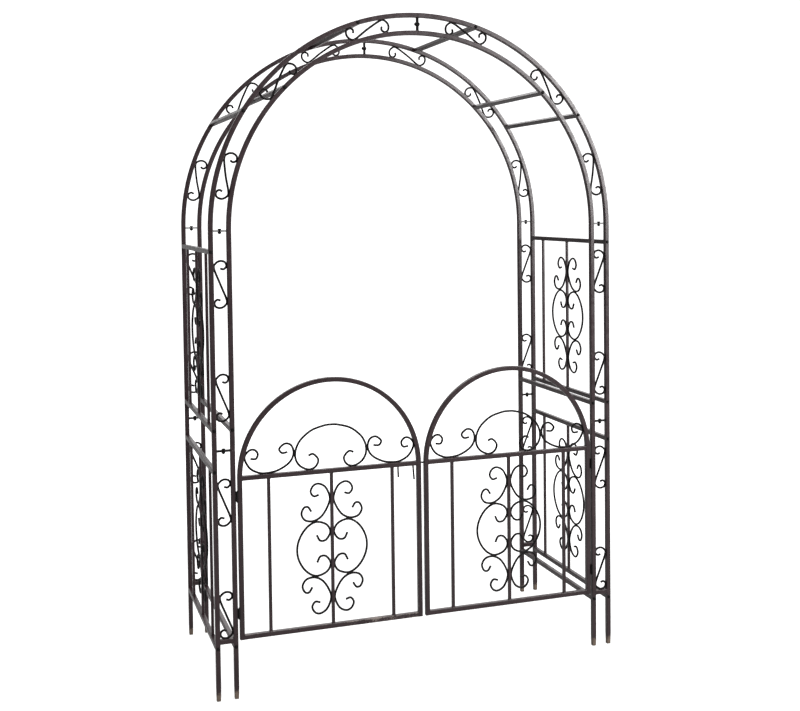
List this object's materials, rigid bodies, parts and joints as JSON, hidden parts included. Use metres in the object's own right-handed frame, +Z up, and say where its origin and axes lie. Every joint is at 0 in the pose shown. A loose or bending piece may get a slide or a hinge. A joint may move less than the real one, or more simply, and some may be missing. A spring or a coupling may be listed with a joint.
{
  "type": "garden trellis arch",
  "caption": "Walk-through garden arch of square steel tube with scroll-filled ladder posts, trellis side panels, roof cross bars and a pair of swinging gates with a sliding latch.",
  "frame": {"origin": "on the ground, midway between the left and right legs and midway between the front and back legs", "axes": "+Z up; X runs across the arch, left to right seen from the gate side; -Y is the gate side and +Y the back"},
  "size_m": [1.4, 0.6008, 2.183],
  "materials": {
    "powder_coat": "satin powder coat, brown-black",
    "panel_coat": "satin powder coat, brown-black",
    "gate_coat": "satin powder coat, brown-black",
    "zinc_fastener": "blackened zinc, dull",
    "hinge_steel": "painted steel, satin"
  },
  "bodies": {
    "frame": {"front_left_lower_ladder": "powder_coat", "front_left_upper_ladder": "powder_coat", "front_left_quarter_arch": "powder_coat", "front_right_lower_ladder": "powder_coat", "front_right_upper_ladder": "powder_coat", "front_right_quarter_arch": "powder_coat", "back_left_lower_ladder": "powder_coat", "back_left_upper_ladder": "powder_coat", "back_left_quarter_arch": "powder_coat", "back_right_lower_ladder": "powder_coat", "back_right_upper_ladder": "powder_coat", "back_right_quarter_arch": "powder_coat", "left_lower_side_panel": "panel_coat", "left_lower_spacer_bar": "panel_coat", "left_upper_side_panel": "panel_coat", "left_upper_spacer_bar": "panel_coat", "left_outer_low_cross_bar": "panel_coat", "left_inner_cross_bar": "panel_coat", "left_outer_top_cross_bar": "panel_coat", "right_lower_side_panel": "panel_coat", "right_lower_spacer_bar": "panel_coat", "right_upper_side_panel": "panel_coat", "right_upper_spacer_bar": "panel_coat", "right_outer_low_cross_bar": "panel_coat", "right_inner_cross_bar": "panel_coat", "right_outer_top_cross_bar": "panel_coat", "front_left_mid_joint_bolt": "zinc_fastener", "front_left_spring_joint_bolt": "zinc_fastener", "front_right_mid_joint_bolt": "zinc_fastener", "front_right_spring_joint_bolt": "zinc_fastener", "front_apex_joint_bolt": "zinc_fastener", "back_left_mid_joint_bolt": "zinc_fastener", "back_left_spring_joint_bolt": "zinc_fastener", "back_right_mid_joint_bolt": "zinc_fastener", "back_right_spring_joint_bolt": "zinc_fastener", "back_apex_joint_bolt": "zinc_fastener", "left_lower_hinge_post_leaf": "hinge_steel", "left_lower_hinge_pin": "hinge_steel", "left_upper_hinge_post_leaf": "hinge_steel", "left_upper_hinge_pin": "hinge_steel", "right_lower_hinge_post_leaf": "hinge_steel", "right_lower_hinge_pin": "hinge_steel", "right_upper_hinge_post_leaf": "hinge_steel", "right_upper_hinge_pin": "hinge_steel"},
    "left_gate_leaf": {"left_gate": "gate_coat", "left_lower_hinge_gate_leaf": "hinge_steel", "left_upper_hinge_gate_leaf": "hinge_steel"},
    "right_gate_leaf": {"right_gate": "gate_coat", "right_lower_hinge_gate_leaf": "hinge_steel", "right_upper_hinge_gate_leaf": "hinge_steel"},
    "latch": {"latch_bolt": "hinge_steel"}
  },
  "joints": [
    {"name": "left_gate_hinge", "type": "hinge", "parent": "frame", "child": "left_gate_leaf", "pos_m": [-0.6245, -0.2977, 0.4595], "axis": [0, 0, -1], "range_deg": [0, 165]},
    {"name": "right_gate_hinge", "type": "hinge", "parent": "frame", "child": "right_gate_leaf", "pos_m": [0.6245, -0.2977, 0.4595], "axis": [0, 0, 1], "range_deg": [0, 165]},
    {"name": "latch_slide", "type": "slide", "parent": "left_gate_leaf", "child": "latch", "axis": [1, 0, 0], "range_m": [0, 0.008]}
  ]
}
